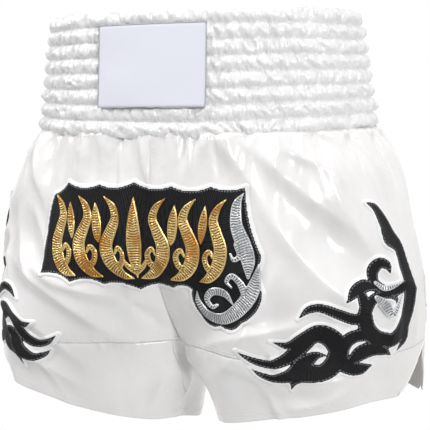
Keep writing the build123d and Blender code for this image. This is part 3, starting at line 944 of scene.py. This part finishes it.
# Flame of the +X leg, in a plane turned by these degrees towards each leg's side
FLAME_TURN, FLAME_TURN_RIGHT = 40, 46
FLAME_SHIFT = (-3, 7)
FLAME_WEIGHT = 1.36
FLAME = [
    scroll((94, 172, 0.4), (105, 178, 3.4), (112, 190, 5.4), (118, 203, 6.2), (127, 213, 5.0),
           (130, 227, 5.4), (132, 242, 6.0), (134, 256, 5.6), (131, 271, 6.4), (124, 284, 7.0),
           (113, 292, 5.0), (102, 290, 3.0)),
    scroll((112, 196, 4.6), (113, 206, 3.2), (117, 213, 0.4)),
    scroll((129, 280, 4.4), (130, 292, 4.0), (122, 303, 0.5)),
    scroll((131, 244, 4.4), (119, 248, 4.4), (107, 247, 4.0), (98.5, 240, 3.8), (97.5, 231, 4.4),
           (103, 224, 4.2), (110, 226, 3.2), (112.5, 233, 0.9)),
    scroll((69, 254, 0.4), (78, 245, 4.2), (90, 241.5, 4.2), (101, 246, 1.2)),
    scroll((83, 246, 3.6), (86, 257, 5.0), (87, 269, 6.0), (91, 280, 6.2), (100, 288, 6.0), (113, 291, 5.0)),
    scroll((86, 266, 5.0), (92, 256, 4.6), (101, 251, 3.6), (111, 252, 2.4), (119, 258, 2.0),
           (113, 270, 1.0)),
    scroll((33, 268, 0.4), (42, 259.5, 2.8), (52, 258, 3.4), (64, 263, 3.8), (76, 268, 4.2), (86, 268, 5.0)),
    scroll((110, 291, 5.0), (95, 285, 4.4), (80, 283, 4.8), (69, 289, 5.6), (65.5, 300, 6.4), (72, 309, 5.4),
           (85, 313, 4.6), (98, 311, 0.6)),
    scroll((74, 306, 3.0), (84, 299, 6.0), (96, 297, 5.4), (108, 300, 3.4), (118, 306, 0.4)),
    scroll((13, 287, 0.4), (26, 291, 3.2), (38, 285, 5.0), (50, 280, 6.4), (60, 285, 6.8), (66, 296, 6.4)),
    scroll((66, 292, 6.0), (61, 307, 6.4), (51, 314, 6.0), (38, 314, 7.0), (27, 318, 5.0), (17, 321, 3.4),
           (8, 318, 2.2), (1, 312, 0.4)),
    scroll((-8, 296, 0.4), (1, 304, 2.4), (13, 308, 3.4), (25, 303, 4.4), (34, 294, 5.0), (44, 285, 4.0)),
    scroll((57, 299, 0.5), (47, 299, 3.2), (38, 306, 5.4), (32, 313, 5.0)),
    scroll((36, 318, 4.0), (31, 323, 2.6), (29, 332, 0.4)),
]
FLAME_ACCENT = [
    scroll((98, 252, 2.6), (106, 259, 4.6), (112, 268, 3.0), (118, 262, 2.8), (124, 253, 1.6)),
    scroll((99, 240, 2.2), (106, 245, 2.8), (116, 244.5, 2.4), (126, 240, 0.5)),
]
ACCENT_BOX = (94, 130, -276, -234)


def make_emblem():
    """The emblem: white edging, black ground, and gold and silver ornament on it."""
    sides = zip(EMBLEM_OUTLINE, EMBLEM_OUTLINE[1:] + EMBLEM_OUTLINE[:1])
    outline = np.concatenate([arc_points((x, -drop), (x2, -drop2), sagitta, 14)[:-1]
                              for (x, drop, sagitta), (x2, drop2, _) in sides])

    def ground(x, z):
        return outline_field(x, z, outline)

    applique("emblem_white_edging", ground, EMBLEM_BOX, 1.2, 2.6, padded(-0.6, 1.9, 0.8), on_front,
             "emblem_edging", EDGING)
    applique("emblem_black_ground", ground, EMBLEM_BOX, 1.2, 0.0, padded(0.2, 1.5, 1.1), on_front,
             "emblem_ground", BLACK)
    gold = [BUD]
    for strokes in GOLD_FLAMES:
        gold += [[stroke * (side * GOLD_SPREAD, 1, GOLD_WEIGHT) for stroke in strokes] for side in (1, -1)]
    gold = [[stroke + (EMBLEM_MIDDLE, 0, 0) for stroke in strokes] for strokes in gold]
    for kind, groups, material in (("gold", gold, GOLD), ("silver", SILVER_PIECES, SILVER)):
        for number, strokes in enumerate(groups, start=1):
            applique(f"emblem_{kind}_scroll_{number}", lambda x, z, s=strokes: stroke_field(x, z, s),
                     box_round(strokes, 6), 0.75, 0.0, corded, on_front, f"emblem_{kind}_{number}",
                     material)


def make_flames():
    """The flames on the front and back of both legs, and the silver accents of the front ones."""
    strokes = [stroke * (1, 1, FLAME_WEIGHT) for stroke in FLAME]
    box = box_round(FLAME, 5)

    def flame(x, z):
        return stroke_field(x, z, strokes)

    def accent(x, z):
        return stroke_field(x, z, FLAME_ACCENT)

    for side, word in ((1, "left"), (-1, "right")):
        for face, where in ((1, "front"), (-1, "back")):
            place = on_leg(side, face)
            applique(f"{where}_flame_white_edging_{word}", flame, box, 1.2, 2.0, padded(-0.4, 1.8, 0.8),
                     place, f"{where}_flame_edging_{word}", EDGING)
            applique(f"{where}_flame_black_{word}", flame, box, 1.1, 0.0, padded(0.5, 1.3, 1.1),
                     place, f"{where}_flame_{word}", BLACK)
        applique(f"front_flame_silver_{word}", accent, ACCENT_BOX, 0.8, 0.0, padded(1.3, 1.2, 1.2),
                 on_leg(side, 1), f"front_flame_accent_{word}", SILVER)


# ---- camera, lights and floor
WORLD_DIM = 0.46
VIEW_TURN, VIEW_RISE, VIEW_ROLL = 23.0, 6.8, -1.0
VIEW_DISTANCE, VIEW_WIDTH = 1.060, 0.415
TARGET = Vector((0.010, 0.0, -0.189))


def make_camera():
    """The camera in front of the wearer's left side, a little above the shorts and slightly rolled."""
    turn, rise, roll = (math.radians(v) for v in (VIEW_TURN, VIEW_RISE, VIEW_ROLL))
    back = Vector((math.sin(turn) * math.cos(rise), -math.cos(turn) * math.cos(rise), math.sin(rise)))
    right = Vector((math.cos(turn), math.sin(turn), 0))
    up = back.cross(right)
    level = right * math.cos(roll) + up * math.sin(roll)
    over = up * math.cos(roll) - right * math.sin(roll)
    lens = bpy.data.cameras.new("camera")
    lens.sensor_width = 36
    lens.lens = 36 * VIEW_DISTANCE / VIEW_WIDTH
    camera = bpy.data.objects.new("camera", lens)
    bpy.context.scene.collection.objects.link(camera)
    place = Matrix((level, over, back)).transposed().to_4x4()
    place.translation = TARGET + back * VIEW_DISTANCE
    camera.matrix_world = place
    bpy.context.scene.camera = camera


def area_light(name, place, size, power):
    """A round lamp aimed at the shorts, with its place and size in metres."""
    light = bpy.data.lights.new(name, "AREA")
    light.shape = "DISK"
    light.size = size
    light.energy = power
    lamp = bpy.data.objects.new(name, light)
    bpy.context.scene.collection.objects.link(lamp)
    lamp.location = place
    lamp.rotation_euler = (TARGET - Vector(place)).to_track_quat("-Z", "Y").to_euler()


def make_world():
    """A white studio wall behind the shorts that greys towards the front."""
    world = bpy.data.worlds.new("studio")
    bpy.context.scene.world = world
    world.use_nodes = True
    tree = world.node_tree
    split = tree.nodes.new("ShaderNodeSeparateXYZ")
    tree.links.new(tree.nodes.new("ShaderNodeTexCoord").outputs["Generated"], split.inputs["Vector"])
    light = range_node(tree, split.outputs["Y"], 0.1, 0.75, to_min=WORLD_DIM, smoothed=True)
    tree.links.new(light, tree.nodes["Background"].inputs["Strength"])
    tree.nodes["Background"].inputs["Color"].default_value = (1, 1, 1, 1)


def make_stage():
    """The pale floor, the lamps and the world."""
    mesh = bpy.data.meshes.new("floor")
    half, drop = 0.6, -1.2
    mesh.from_pydata([(-half, -half, drop), (half, -half, drop), (half, half, drop), (-half, half, drop)], [],
                     [(0, 1, 2, 3)])
    floor = bpy.data.objects.new("floor", mesh)
    bpy.context.scene.collection.objects.link(floor)
    floor.data.materials.append(FLOOR)
    area_light("key", (-1.75, -0.9, 1.25), 0.5, 25)
    area_light("fill", (1.5, -1.5, 0.6), 0.6, 22)
    area_light("top", (0.3, -0.4, 1.9), 0.8, 12)
    area_light("rear", (-0.6, 1.9, 0.9), 1.4, 6)
    make_world()
    bpy.context.scene.view_settings.view_transform = "Standard"


make_camera()
make_waistband()
make_lining()
make_patch()
make_patch_edge()
make_label()
for word, side in (("left", 1), ("right", -1)):
    for front in (True, False):
        upper_panel(side, word, front)
        hem_band(side, word, front)
        slit_binding(side, word, front)
make_gusset()
make_stitches()
make_emblem()
make_flames()
make_elastics()
make_stage()
